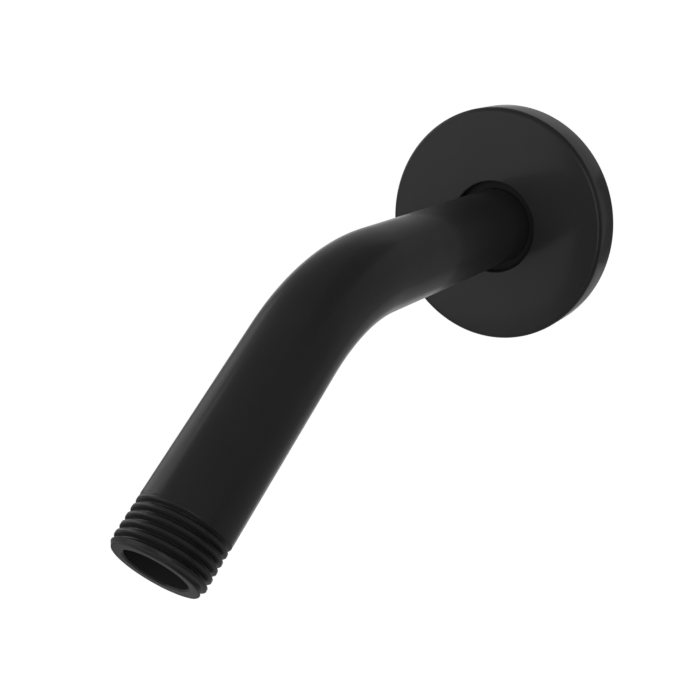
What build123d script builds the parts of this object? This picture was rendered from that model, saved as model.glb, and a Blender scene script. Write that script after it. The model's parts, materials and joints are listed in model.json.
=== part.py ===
"""Wall-mounted shower arm: a bent, threaded tube, its slip-on wall flange and the rubber ring that grips it.

Millimetres. The origin is on the tube's axis at the face of the wall. The arm leaves the wall along -Y and
bends down in the plane X = 0, with +Z up. Its inlet end reaches into the wall along +Y.
"""

import os

from build123d import *

# Tube
tube_diameter = 21.0
bore_diameter = 14.4
inlet_length = 18.0
straight_length = 71.5
bend_radius = 58.0
bend_angle = 35.0
outlet_length = 56.0

# Half-inch pipe thread, 14 turns to the inch: each end is turned down to the thread's crests
thread_pitch = 1.814
crest_relief = 0.0225
inlet_thread_length = 15.0
outlet_thread_length = 11.5
end_chamfer = 0.3
bore_edge_chamfer = 0.35

# Wall flange, a cup that is open towards the wall, with a collar around its hole
flange_diameter = 65.0
flange_depth = 9.6
flange_wall = 1.2
flange_edge_radius = 1.4
hole_gap = 2.2
hole_edge_chamfer = 0.4
collar_length = 6.8

# Rubber grip ring in the collar's groove
groove_depth = 0.4
groove_setback = 2.2
running_clearance = 0.05
groove_side_clearance = 0.1

# Worked out from the sizes above
tube_radius = tube_diameter / 2
bore_radius = bore_diameter / 2
crest_radius = tube_radius - crest_relief
thread_runout = thread_pitch
hole_radius = tube_radius + hole_gap
groove_radius = hole_radius + groove_depth
collar_radius = groove_radius + flange_wall
ring_inner_radius = tube_radius + running_clearance
ring_outer_radius = groove_radius - running_clearance
ring_section = ring_outer_radius - ring_inner_radius
groove_width = ring_section + 2 * groove_side_clearance
groove_centre = flange_depth - groove_setback - groove_width / 2

# The wall's face, with the arm's way out as its normal
wall = Plane(origin=(0, 0, 0), x_dir=(1, 0, 0), z_dir=(0, -1, 0))


def turn_thread_land(end_face, thread_length):
    """Turns one end down to the thread's crests, with a run-out into the tube and a chamfer at the end face.

    The plane end_face lies on the tube's end, with its normal pointing out of the tube.
    """
    half_section = Plane(end_face.origin, x_dir=end_face.x_dir, z_dir=-end_face.y_dir)
    waste_radius = tube_diameter
    with BuildSketch(half_section) as waste:
        with BuildLine():
            Polyline(
                (crest_radius - end_chamfer, 0),
                (crest_radius, -end_chamfer),
                (crest_radius, -thread_length),
                (tube_radius, -thread_length - thread_runout),
                (waste_radius, -thread_length - thread_runout),
                (waste_radius, 0),
                close=True,
            )
        make_face()
    revolve(waste.sketch, axis=Axis(end_face.origin, end_face.z_dir), mode=Mode.SUBTRACT)


# Shower arm: one tube, bent, open right through and turned at both ends
with BuildPart() as shower_arm:
    with BuildLine(Plane.YZ) as centre_line:
        rear = Line((inlet_length, 0), (-straight_length, 0))
        bend = JernArc(start=rear @ 1, tangent=rear % 1, radius=bend_radius, arc_size=bend_angle)
        PolarLine(start=bend @ 1, length=outlet_length, direction=bend % 1)
    path = centre_line.wire()
    inlet_face = Plane(path @ 0, x_dir=(1, 0, 0), z_dir=-(path % 0))
    outlet_face = Plane(path @ 1, x_dir=(1, 0, 0), z_dir=path % 1)
    with BuildSketch(inlet_face):
        Circle(tube_radius)
        Circle(bore_radius, mode=Mode.SUBTRACT)
    sweep(path=path)
    turn_thread_land(inlet_face, inlet_thread_length)
    turn_thread_land(outlet_face, outlet_thread_length)
    for end_face in (inlet_face, outlet_face):
        bore_edge = shower_arm.edges().filter_by(GeomType.CIRCLE).sort_by_distance(end_face.origin)[0]
        chamfer(bore_edge, length=bore_edge_chamfer)
shower_arm.part.label = "shower_arm"

# Wall flange: a shallow cup with a round front edge, and a grooved collar behind its hole
with BuildPart() as wall_flange:
    with BuildSketch(wall):
        Circle(flange_diameter / 2)
    extrude(amount=flange_depth)
    back_face = wall_flange.faces().sort_by(Axis.Y)[-1]
    offset(amount=-flange_wall, openings=back_face)
    front_face = wall_flange.faces().sort_by(Axis.Y)[0]
    fillet(front_face.edges(), radius=flange_edge_radius)
    with BuildSketch(wall.offset(flange_depth - collar_length)):
        Circle(collar_radius)
    extrude(amount=collar_length - flange_wall)
    with Locations(wall.offset(flange_depth)):
        Hole(radius=hole_radius)
    with BuildSketch(wall.offset(groove_centre - groove_width / 2)):
        Circle(groove_radius)
    extrude(amount=groove_width, mode=Mode.SUBTRACT)
    front_edges = wall_flange.edges().filter_by(GeomType.CIRCLE).group_by(Axis.Y)[0]
    chamfer(front_edges.sort_by(SortBy.RADIUS)[0], length=hole_edge_chamfer)
wall_flange.part.label = "wall_flange"

# Grip ring: a square-cut rubber ring between the tube and the collar's groove
with BuildPart() as grip_ring:
    with BuildSketch(wall.offset(groove_centre - ring_section / 2)):
        Circle(ring_outer_radius)
        Circle(ring_inner_radius, mode=Mode.SUBTRACT)
    extrude(amount=ring_section)
grip_ring.part.label = "grip_ring"

os.makedirs("parts", exist_ok=True)
for piece in (shower_arm, wall_flange, grip_ring):
    export_step(piece.part, f"parts/{piece.part.label}.step")
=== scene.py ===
"""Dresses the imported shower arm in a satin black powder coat, on a white sweep in a plain studio.

The pieces are the bent tube with its two helical pipe threads, the wall flange and the rubber grip ring.
Metres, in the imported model's frame: +Z is up, +Y goes into the wall, and the arm leaves the wall along -Y.
"""

import json
import math

import bmesh
import bpy
from mathutils import Matrix, Vector


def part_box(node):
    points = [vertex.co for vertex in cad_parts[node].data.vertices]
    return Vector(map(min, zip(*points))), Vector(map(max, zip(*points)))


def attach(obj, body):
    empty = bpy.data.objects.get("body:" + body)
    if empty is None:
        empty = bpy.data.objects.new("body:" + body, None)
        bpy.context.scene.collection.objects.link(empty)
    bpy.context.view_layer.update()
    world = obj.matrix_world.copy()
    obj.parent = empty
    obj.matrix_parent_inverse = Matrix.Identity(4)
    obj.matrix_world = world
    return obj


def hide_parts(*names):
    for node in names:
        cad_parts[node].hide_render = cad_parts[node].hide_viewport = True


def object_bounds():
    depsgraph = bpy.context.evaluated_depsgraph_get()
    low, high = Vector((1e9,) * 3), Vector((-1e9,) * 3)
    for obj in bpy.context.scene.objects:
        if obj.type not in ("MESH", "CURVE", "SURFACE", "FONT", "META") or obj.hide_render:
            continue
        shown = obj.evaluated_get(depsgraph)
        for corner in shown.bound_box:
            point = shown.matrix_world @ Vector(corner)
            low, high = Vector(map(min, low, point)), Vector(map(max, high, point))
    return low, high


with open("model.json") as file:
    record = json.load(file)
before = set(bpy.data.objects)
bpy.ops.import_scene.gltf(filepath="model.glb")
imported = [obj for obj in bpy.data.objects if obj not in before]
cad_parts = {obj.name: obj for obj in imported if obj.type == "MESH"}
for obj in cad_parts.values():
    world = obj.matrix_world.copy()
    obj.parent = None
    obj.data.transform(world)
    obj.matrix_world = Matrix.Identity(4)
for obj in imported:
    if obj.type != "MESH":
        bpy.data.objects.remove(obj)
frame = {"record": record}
cad_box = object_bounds()

MM = 0.001

# Sizes read from the frame
mounts = {mount["name"]: mount for mount in frame["record"]["mounts"]}
arm_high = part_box("shower_arm")[1]
flange_low, flange_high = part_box("wall_flange")
ring_low, ring_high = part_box("grip_ring")
outlet_axis = Vector(mounts["outlet_thread"]["axis"])
crest_radius = mounts["outlet_thread"]["dims"]["r_mm"] * MM
tube_radius = arm_high.x
inlet_length = arm_high.y
flange_radius = flange_high.x
flange_depth = -flange_low.y
ring_radius = ring_high.x
ring_front = -ring_low.y
ring_back = -ring_high.y
bend_angle = Vector((0, -1, 0)).angle(outlet_axis)

# The tube's sizes, as in the solid
straight_length = 71.5 * MM
bend_radius = 58 * MM
outlet_length = 56 * MM
bore_radius = 7.2 * MM
bore_chamfer = 0.35 * MM

# Pipe thread, with its turns as far apart as in the photograph, and a lead-in cone that is cut off centre
thread_pitch = 1.97 * MM
thread_depth = 1.16 * MM
inlet_thread_length = 15 * MM
outlet_thread_length = 11.5 * MM
crest_share = 0.24
root_share = 0.10
run_out_length = 1.5 * thread_pitch
run_out_reach = 0.25 * thread_pitch
inlet_crest_offset = thread_pitch
outlet_crest_offset = 1.44 * MM
lead_in_length = 1.2 * MM
lead_in_depth = 0.55 * MM
lead_in_off_centre = 0.27 * MM
lead_in_deep_side = math.radians(140)
end_edge_radius = 0.25 * MM

# The flange's and the ring's sizes, as in the solids, with the ring closed up to the tube that it grips
flange_wall = 1.2 * MM
flange_edge_radius = 1.4 * MM
flange_rim_radius = 0.3 * MM
hole_gap = 2.2 * MM
hole_radius = tube_radius + hole_gap
hole_edge_radius = 0.4 * MM
collar_groove_depth = 0.4 * MM
groove_radius = hole_radius + collar_groove_depth
groove_side_clearance = 0.1 * MM
collar_radius = groove_radius + flange_wall
collar_length = 6.8 * MM
ring_squeeze = 0.01 * MM
ring_inner_radius = tube_radius - ring_squeeze
ring_edge_radius = 0.2 * MM

# Mesh fineness, and the angle from which an edge is left sharp
tube_segments = 160
rows_per_pitch = 16
bend_rows = 40
flange_segments = 256
corner_steps = 8
sharp_angle = math.radians(30)


# Tube centre line: arc length s runs from the inlet's end face to the outlet's end face

rear_length = inlet_length + straight_length
bend_length = bend_radius * bend_angle
path_length = rear_length + bend_length + outlet_length
bend_start = Vector((0, -straight_length, 0))
bend_centre = bend_start + Vector((0, 0, -bend_radius))


def path_point(s):
    """The centre line's point and direction at arc length s."""
    if s <= rear_length:
        return Vector((0, inlet_length - s, 0)), Vector((0, -1, 0))
    turned = min((s - rear_length) / bend_radius, bend_angle)
    direction = Vector((0, -math.cos(turned), -math.sin(turned)))
    outward = Vector((0, -math.sin(turned), math.cos(turned)))
    point = bend_centre + bend_radius * outward
    beyond = max(s - rear_length - bend_length, 0)
    return point + beyond * direction, direction


def tube_point(s, angle, radius):
    """A point at that radius and angle about the centre line, at arc length s."""
    point, direction = path_point(s)
    across = Vector((1, 0, 0))
    upward = direction.cross(across)
    return point + radius * (math.cos(angle) * across + math.sin(angle) * upward)


# Tube and threads

def smooth(value):
    """Eases a value from 0 to 1."""
    value = min(max(value, 0), 1)
    return value * value * (3 - 2 * value)


def groove_depth(turns):
    """The thread's depth below its crest, for a place counted in turns from a crest."""
    offset = abs(turns - round(turns))
    flank = (offset - crest_share / 2) / (0.5 - crest_share / 2 - root_share / 2)
    return thread_depth * smooth(flank)


def thread_radius(from_end, turns, angle, thread_length):
    """The threaded end's radius, at a distance from the end face and an angle about the tube."""
    run_out = smooth((thread_length + run_out_reach - from_end) / run_out_length)
    crest = tube_radius + (crest_radius - tube_radius) * run_out
    cut = crest - groove_depth(turns) * run_out
    lead_in = lead_in_depth + lead_in_off_centre * math.cos(angle - lead_in_deep_side)
    cone = crest_radius - lead_in * (1 - from_end / lead_in_length)
    return min(cut, cone)


def add_ring(mesh, s, radius):
    """Adds a round row of points at arc length s."""
    turn = 2 * math.pi / tube_segments
    return [mesh.verts.new(tube_point(s, step * turn, radius)) for step in range(tube_segments)]


def bridge(mesh, first, second):
    """Joins two round rows with a band of faces."""
    for step in range(tube_segments):
        following = (step + 1) % tube_segments
        mesh.faces.new((first[step], first[following], second[following], second[step]))


def add_thread(mesh, start, end, from_end, crest_at, thread_length):
    """Adds a threaded band from arc length start to end, and returns its first and last round row.

    Its rows follow the helix, so crests and roots are clean lines. Rows that pass the band's ends are
    clamped there, and their points merge. from_end gives a place's distance from the end face, and
    crest_at is the arc length of a crest at angle zero.
    """
    row_step = thread_pitch / rows_per_pitch
    first_row = math.floor((start - crest_at) / row_step) - rows_per_pitch
    last_row = math.ceil((end - crest_at) / row_step) + rows_per_pitch
    columns = []
    for step in range(tube_segments):
        share = step / tube_segments
        angle = 2 * math.pi * share
        column = {}
        clamped = {}
        for row in range(first_row, last_row + 1):
            s = crest_at + row * row_step + share * thread_pitch
            limited = min(max(s, start), end)
            if limited != s and limited in clamped:
                column[row] = clamped[limited]
                continue
            turns = (limited - crest_at) / thread_pitch - share
            radius = thread_radius(from_end(limited), turns, angle, thread_length)
            column[row] = mesh.verts.new(tube_point(limited, angle, radius))
            if limited != s:
                clamped[limited] = column[row]
        columns.append(column)
    for step in range(tube_segments):
        following = (step + 1) % tube_segments
        shift = rows_per_pitch if following == 0 else 0
        for row in range(first_row, last_row - shift):
            corners = [
                columns[step][row],
                columns[following][row + shift],
                columns[following][row + shift + 1],
                columns[step][row + 1],
            ]
            corners = [corner for at, corner in enumerate(corners) if corner is not corners[at - 1]]
            if len(corners) > 2:
                mesh.faces.new(corners)
    return [column[first_row] for column in columns], [column[last_row] for column in columns]


def round_end(mesh, row, s, way):
    """Rounds an end's outer edge over onto its end face, from the thread's last round row at arc length s.

    way is 1 where the tube ends ahead of that row, and -1 where it ends behind it.
    """
    middle, direction = path_point(s)
    rows = [row]
    for step in range(1, corner_steps + 1):
        turn = math.pi / 2 * step / corner_steps
        ahead = way * end_edge_radius * math.sin(turn) * direction
        inward = end_edge_radius * (1 - math.cos(turn))
        rows.append([
            mesh.verts.new(vert.co + ahead - inward * (vert.co - middle).normalized()) for vert in row
        ])
    return rows


def finish_mesh(mesh, name, material):
    """Makes an object of a mesh under construction, with its faces turned outwards and smoothed."""
    bmesh.ops.recalc_face_normals(mesh, faces=mesh.faces)
    for face in mesh.faces:
        face.smooth = True
    for edge in mesh.edges:
        edge.smooth = edge.calc_face_angle(0) < sharp_angle
    data = bpy.data.meshes.new(name)
    mesh.to_mesh(data)
    mesh.free()
    data.materials.append(material)
    piece = bpy.data.objects.new(name, data)
    bpy.context.scene.collection.objects.link(piece)
    return piece


def make_tube(material):
    """The bent tube, threaded at both ends and open right through, as one closed mesh."""
    mesh = bmesh.new()
    inlet_outer = end_edge_radius
    inlet_inner = inlet_thread_length + thread_pitch
    inlet_first, inlet_last = add_thread(
        mesh,
        inlet_outer,
        inlet_inner,
        lambda s: s,
        inlet_crest_offset,
        inlet_thread_length,
    )
    outlet_inner = path_length - outlet_thread_length - thread_pitch
    outlet_outer = path_length - end_edge_radius
    outlet_first, outlet_last = add_thread(
        mesh,
        outlet_inner,
        outlet_outer,
        lambda s: path_length - s,
        path_length - outlet_crest_offset,
        outlet_thread_length,
    )
    bend_places = [rear_length + bend_length * row / bend_rows for row in range(bend_rows + 1)]
    outer = [inlet_last]
    outer += [add_ring(mesh, s, tube_radius) for s in bend_places]
    outer.append(outlet_first)
    bore = [add_ring(mesh, path_length, bore_radius + bore_chamfer)]
    bore_places = [path_length - bore_chamfer, *reversed(bend_places), bore_chamfer]
    bore += [add_ring(mesh, s, bore_radius) for s in bore_places]
    bore.append(add_ring(mesh, 0, bore_radius + bore_chamfer))
    inlet_edge = round_end(mesh, inlet_first, inlet_outer, -1)
    outlet_edge = round_end(mesh, outlet_last, outlet_outer, 1)
    inside = [*outlet_edge, *bore, *reversed(inlet_edge)]
    for rows in (outer, inside):
        for first, second in zip(rows, rows[1:]):
            bridge(mesh, first, second)
    return finish_mesh(mesh, "arm_tube", material)


# Flange and ring

def rounded(corners):
    """A closed half-section, with each corner rounded by its own size.

    A corner is (radius, distance from the wall, size of its rounding).
    """
    section = []
    for at, (x, y, size) in enumerate(corners):
        corner = Vector((x, y))
        if not size:
            section.append(corner)
            continue
        before = (Vector(corners[at - 1][:2]) - corner).normalized()
        after = (Vector(corners[(at + 1) % len(corners)][:2]) - corner).normalized()
        half = before.angle(after) / 2
        centre = corner + (before + after).normalized() * size / math.sin(half)
        start = corner + before * size / math.tan(half) - centre
        end = corner + after * size / math.tan(half) - centre
        turn = math.remainder(math.atan2(end.y, end.x) - math.atan2(start.y, start.x), 2 * math.pi)
        for step in range(corner_steps + 1):
            section.append(centre + Matrix.Rotation(turn * step / corner_steps, 2) @ start)
    return section


def lathe(name, section, segments, material):
    """Turns a closed half-section about the axis of the tube's straight.

    A point of the section is (radius, distance from the wall).
    """
    mesh = bmesh.new()
    rows = []
    for step in range(segments):
        angle = 2 * math.pi * step / segments
        rows.append([
            mesh.verts.new((point.x * math.cos(angle), -point.y, point.x * math.sin(angle)))
            for point in section
        ])
    count = len(section)
    for first, second in zip(rows, rows[1:] + rows[:1]):
        for at in range(count):
            following = (at + 1) % count
            mesh.faces.new((first[at], first[following], second[following], second[at]))
    return finish_mesh(mesh, name, material)


def make_flange(material):
    """The wall flange: a cup that is open to the wall, with a grooved collar behind its hole."""
    groove_front = ring_front + groove_side_clearance
    groove_back = ring_back - groove_side_clearance
    inside_radius = flange_radius - flange_wall
    inside_depth = flange_depth - flange_wall
    collar_back = flange_depth - collar_length
    section = rounded([
        (hole_radius, flange_depth, hole_edge_radius),
        (flange_radius, flange_depth, flange_edge_radius),
        (flange_radius, 0, flange_rim_radius),
        (inside_radius, 0, flange_rim_radius),
        (inside_radius, inside_depth, 0),
        (collar_radius, inside_depth, 0),
        (collar_radius, collar_back, 0),
        (hole_radius, collar_back, 0),
        (hole_radius, groove_back, 0),
        (groove_radius, groove_back, 0),
        (groove_radius, groove_front, 0),
        (hole_radius, groove_front, 0),
    ])
    return lathe("flange_cup", section, flange_segments, material)


def make_ring(material):
    """The square-cut rubber ring in the collar's groove."""
    section = rounded([
        (ring_inner_radius, ring_front, ring_edge_radius),
        (ring_radius, ring_front, ring_edge_radius),
        (ring_radius, ring_back, ring_edge_radius),
        (ring_inner_radius, ring_back, ring_edge_radius),
    ])
    return lathe("rubber_ring", section, tube_segments, material)


# Materials: the part of a noise's range that is used, and how fine its own detail goes

noise_low = 0.3
noise_high = 0.7
noise_detail = 3


def grey(level):
    """A neutral colour."""
    return level, level, level


def new_material(name, colour, roughness):
    """A Principled material, with its node tree and shader."""
    material = bpy.data.materials.new(name)
    material.use_nodes = True
    tree = material.node_tree
    shader = tree.nodes["Principled BSDF"]
    shader.inputs["Base Color"].default_value = (*colour, 1)
    shader.inputs["Roughness"].default_value = roughness
    return material, tree, shader


def add_noise(tree, scale):
    """A noise that is fixed to the object, with about that many cells to the metre."""
    place = tree.nodes.new("ShaderNodeTexCoord")
    noise = tree.nodes.new("ShaderNodeTexNoise")
    noise.inputs["Scale"].default_value = scale
    noise.inputs["Detail"].default_value = noise_detail
    tree.links.new(place.outputs["Object"], noise.inputs["Vector"])
    return noise


def add_gloss(tree, shader, scale, low, high):
    """Lets a noise vary the shader's roughness between two limits."""
    limits = tree.nodes.new("ShaderNodeMapRange")
    limits.inputs["From Min"].default_value = noise_low
    limits.inputs["From Max"].default_value = noise_high
    limits.inputs["To Min"].default_value = low
    limits.inputs["To Max"].default_value = high
    tree.links.new(add_noise(tree, scale).outputs["Fac"], limits.inputs["Value"])
    tree.links.new(limits.outputs["Result"], shader.inputs["Roughness"])


def add_tones(tree, shader, scale, dark, light):
    """Lets a noise vary the shader's colour between two tones."""
    tones = tree.nodes.new("ShaderNodeValToRGB")
    tones.color_ramp.elements[0].position = noise_low
    tones.color_ramp.elements[0].color = (*dark, 1)
    tones.color_ramp.elements[1].position = noise_high
    tones.color_ramp.elements[1].color = (*light, 1)
    tree.links.new(add_noise(tree, scale).outputs["Fac"], tones.inputs["Fac"])
    tree.links.new(tones.outputs["Color"], shader.inputs["Base Color"])


def add_bump(tree, shader, scale, strength, distance):
    """Gives the shader a fine bump."""
    bump = tree.nodes.new("ShaderNodeBump")
    bump.inputs["Strength"].default_value = strength
    bump.inputs["Distance"].default_value = distance
    tree.links.new(add_noise(tree, scale).outputs["Fac"], bump.inputs["Height"])
    tree.links.new(bump.outputs["Normal"], shader.inputs["Normal"])


def make_black_coat():
    """Satin black powder coat."""
    material, tree, shader = new_material("black_coat", colour=(0.03, 0.03, 0.031), roughness=0.37)
    shader.inputs["Specular IOR Level"].default_value = 0.16
    shader.inputs["Coat Weight"].default_value = 0.16
    shader.inputs["Coat Roughness"].default_value = 0.12
    add_gloss(tree, shader, scale=90, low=0.34, high=0.40)
    add_tones(tree, shader, scale=60, dark=(0.028, 0.028, 0.029), light=(0.032, 0.032, 0.033))
    add_bump(tree, shader, scale=1400, strength=0.12, distance=0.05 * MM)
    return material


def make_rubber():
    """Dull black rubber."""
    material, tree, shader = new_material("rubber", colour=grey(0.02), roughness=0.75)
    shader.inputs["Specular IOR Level"].default_value = 0.2
    add_gloss(tree, shader, scale=400, low=0.68, high=0.82)
    add_tones(tree, shader, scale=300, dark=grey(0.018), light=grey(0.022))
    add_bump(tree, shader, scale=2500, strength=0.2, distance=0.05 * MM)
    return material


# Pieces

black_coat = make_black_coat()
rubber = make_rubber()

tube = make_tube(black_coat)
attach(tube, "arm")
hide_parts("shower_arm")

flange = make_flange(black_coat)
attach(flange, "flange")
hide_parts("wall_flange")

ring = make_ring(rubber)
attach(ring, "ring")
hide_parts("grip_ring")


# Camera, fitted to the photograph's outlines

picture_size = 700
focal_length_px = 1051.832
axis_px = (396.631, 437.455)
eye = Vector((129.528, -278.610, 60.597)) * MM
camera_yaw = math.radians(30.687)
camera_pitch = math.radians(22.895)
camera_roll = math.radians(0.942)
sensor_width_mm = 36
nearest_seen = 10 * MM

camera_data = bpy.data.cameras.new("photo_camera")
camera_data.sensor_width = sensor_width_mm
camera_data.lens = focal_length_px / picture_size * sensor_width_mm
camera_data.shift_x = 0.5 - axis_px[0] / picture_size
camera_data.shift_y = axis_px[1] / picture_size - 0.5
camera_data.clip_start = nearest_seen
camera = bpy.data.objects.new("photo_camera", camera_data)
bpy.context.scene.collection.objects.link(camera)
aim = (
    Matrix.Rotation(camera_yaw, 4, "Z")
    @ Matrix.Rotation(math.pi / 2 - camera_pitch, 4, "X")
    @ Matrix.Rotation(camera_roll, 4, "Z")
)
camera.matrix_world = Matrix.Translation(eye) @ aim
bpy.context.scene.camera = camera


# Studio: distances along the floor and the sweep are counted from below the eye, away from the camera

floor_height = -0.45
floor_half_size = 1.0
floor_edge = 0.64

# The sweep widens with distance, as the camera's view does: its sides are shares of distance plus margin
sweep_drop = -1.25
sweep_sides = (-0.345, 0.26)
sweep_margin = 0.82
sweep_front = 1.6
sweep_flat_end = 3.6
sweep_curve_radius = 1.2
sweep_height = 1.8
sweep_rows = 16

# The glow lifts the paper to a plain white, on top of the light that falls on it
paper_glow = 0.79
world_level = 0.265

arm_middle = (cad_box[0] + cad_box[1]) / 2
away = Vector((-math.sin(camera_yaw), math.cos(camera_yaw), 0))
side = Vector((away.y, -away.x, 0))


def make_sweep(material):
    """A paper sweep that lies beyond the floor, away from the camera, and curves up into a wall."""
    profile = [(sweep_front, 0)]
    for row in range(sweep_rows + 1):
        angle = math.pi / 2 * row / sweep_rows
        profile.append((
            sweep_flat_end + sweep_curve_radius * math.sin(angle),
            sweep_curve_radius * (1 - math.cos(angle)),
        ))
    profile.append((sweep_flat_end + sweep_curve_radius, sweep_height))
    mesh = bmesh.new()
    base = Vector((eye.x, eye.y, sweep_drop))
    rows = []
    for distance, height in profile:
        middle = base + away * distance + Vector((0, 0, height))
        spread = side * (distance + sweep_margin)
        rows.append([mesh.verts.new(middle + share * spread) for share in sweep_sides])
    for first, second in zip(rows, rows[1:]):
        mesh.faces.new((first[0], first[1], second[1], second[0]))
    return finish_mesh(mesh, "sweep", material)


def make_floor(material):
    """A plain pale floor under the arm, up to just below the picture."""
    base = Vector((eye.x, eye.y, floor_height))
    spread = side * floor_half_size
    far = base + away * floor_edge
    near = base - away * floor_half_size
    corners = (near - spread, near + spread, far + spread, far - spread)
    mesh = bmesh.new()
    mesh.faces.new([mesh.verts.new(corner) for corner in corners])
    return finish_mesh(mesh, "floor", material)


def towards(azimuth, elevation):
    """A direction from the arm, in degrees: azimuth 0 is straight back, and 90 to the right."""
    across = math.radians(azimuth)
    rise = math.radians(elevation)
    level = math.cos(rise)
    return Vector((math.sin(across) * level, math.cos(across) * level, math.sin(rise)))


def make_flag(name, azimuth, elevation, distance, width, height, material):
    """A dark card that faces the arm and takes light off a part of it. The camera doesn't see it."""
    out = towards(azimuth, elevation)
    middle = arm_middle + distance * out
    half_width = out.cross(Vector((0, 0, 1))).normalized() * width / 2
    half_height = half_width.cross(out).normalized() * height / 2
    mesh = bmesh.new()
    corners = [(-1, -1), (1, -1), (1, 1), (-1, 1)]
    mesh.faces.new([mesh.verts.new(middle + x * half_width + y * half_height) for x, y in corners])
    flag = finish_mesh(mesh, name, material)
    flag.visible_camera = False
    return flag


def make_paper():
    """White paper: a plain white where the camera or a gloss looks at it, and still shaded by shadows."""
    material, tree, shader = new_material("white_paper", colour=grey(0.85), roughness=0.9)
    rays = tree.nodes.new("ShaderNodeLightPath")
    seen = rays.outputs["Is Camera Ray"]
    for ray in ("Is Glossy Ray", "Is Transmission Ray"):
        either = tree.nodes.new("ShaderNodeMath")
        either.operation = "MAXIMUM"
        tree.links.new(seen, either.inputs[0])
        tree.links.new(rays.outputs[ray], either.inputs[1])
        seen = either.outputs[0]
    glow = tree.nodes.new("ShaderNodeMath")
    glow.operation = "MULTIPLY"
    glow.inputs[1].default_value = paper_glow
    tree.links.new(seen, glow.inputs[0])
    shader.inputs["Emission Color"].default_value = (1, 1, 1, 1)
    tree.links.new(glow.outputs[0], shader.inputs["Emission Strength"])
    return material


def add_softbox(name, azimuth, elevation, distance, width, height, radiance):
    """A rectangular soft lamp that faces the arm and looks as bright as its radiance."""
    light = bpy.data.lights.new(name, "AREA")
    light.shape = "RECTANGLE"
    light.size = width
    light.size_y = height
    light.energy = radiance * math.pi * width * height
    lamp = bpy.data.objects.new(name, light)
    bpy.context.scene.collection.objects.link(lamp)
    out = towards(azimuth, elevation)
    lamp.location = arm_middle + distance * out
    lamp.rotation_mode = "QUATERNION"
    lamp.rotation_quaternion = (-out).to_track_quat("-Z", "Y")
    lamp.visible_camera = False


paper = make_paper()
floor_material = new_material("pale_floor", colour=grey(0.7), roughness=0.8)[0]
black_cloth = new_material("black_cloth", colour=grey(0.01), roughness=0.9)[0]
grey_cloth = new_material("grey_cloth", colour=grey(0.3), roughness=0.9)[0]
make_sweep(paper)
make_floor(floor_material)

# Azimuth, elevation, distance, width, height and cloth of each flag
flags = {
    "right_flag": (105, -12, 0.5, 0.46, 0.42, black_cloth),
    "left_flag": (-82, -42, 0.45, 0.3, 0.09, black_cloth),
    "back_flag": (17, -2, 0.5, 0.12, 0.28, black_cloth),
    "front_flag": (182, -8, 0.5, 0.3, 0.28, black_cloth),
    "top_flag": (46, 55, 0.5, 0.56, 0.28, grey_cloth),
}
[make_flag(name, *setting) for name, setting in flags.items()]

# Azimuth, elevation, distance, width, height and radiance of each lamp
lamps = {
    "left_softbox": (-92, 12, 1.4, 1.2, 0.9, 0.76),
    "left_core": (-105, 32, 1.4, 0.55, 0.6, 1.13),
    "front_wide": (178, 8, 1.3, 2.2, 1.7, 0.21),
    "front_left": (-149, 1, 1.5, 1.04, 1.36, 0.72),
    "front_right": (150, 5, 1.5, 0.8, 1.2, 1.08),
    "back_panel": (3, 12, 1.0, 2.5, 1.35, 0.17),
    "back_left": (-23, 18, 1.3, 1.05, 0.6, 0.16),
    "back_low": (8, -30, 0.8, 0.36, 0.28, 0.25),
}
for name, setting in lamps.items():
    add_softbox(name, *setting)

world = bpy.data.worlds.new("studio")
world.use_nodes = True
background = world.node_tree.nodes["Background"]
background.inputs["Color"].default_value = (1, 1, 1, 1)
background.inputs["Strength"].default_value = world_level
bpy.context.scene.world = world
bpy.context.scene.view_settings.view_transform = "Standard"
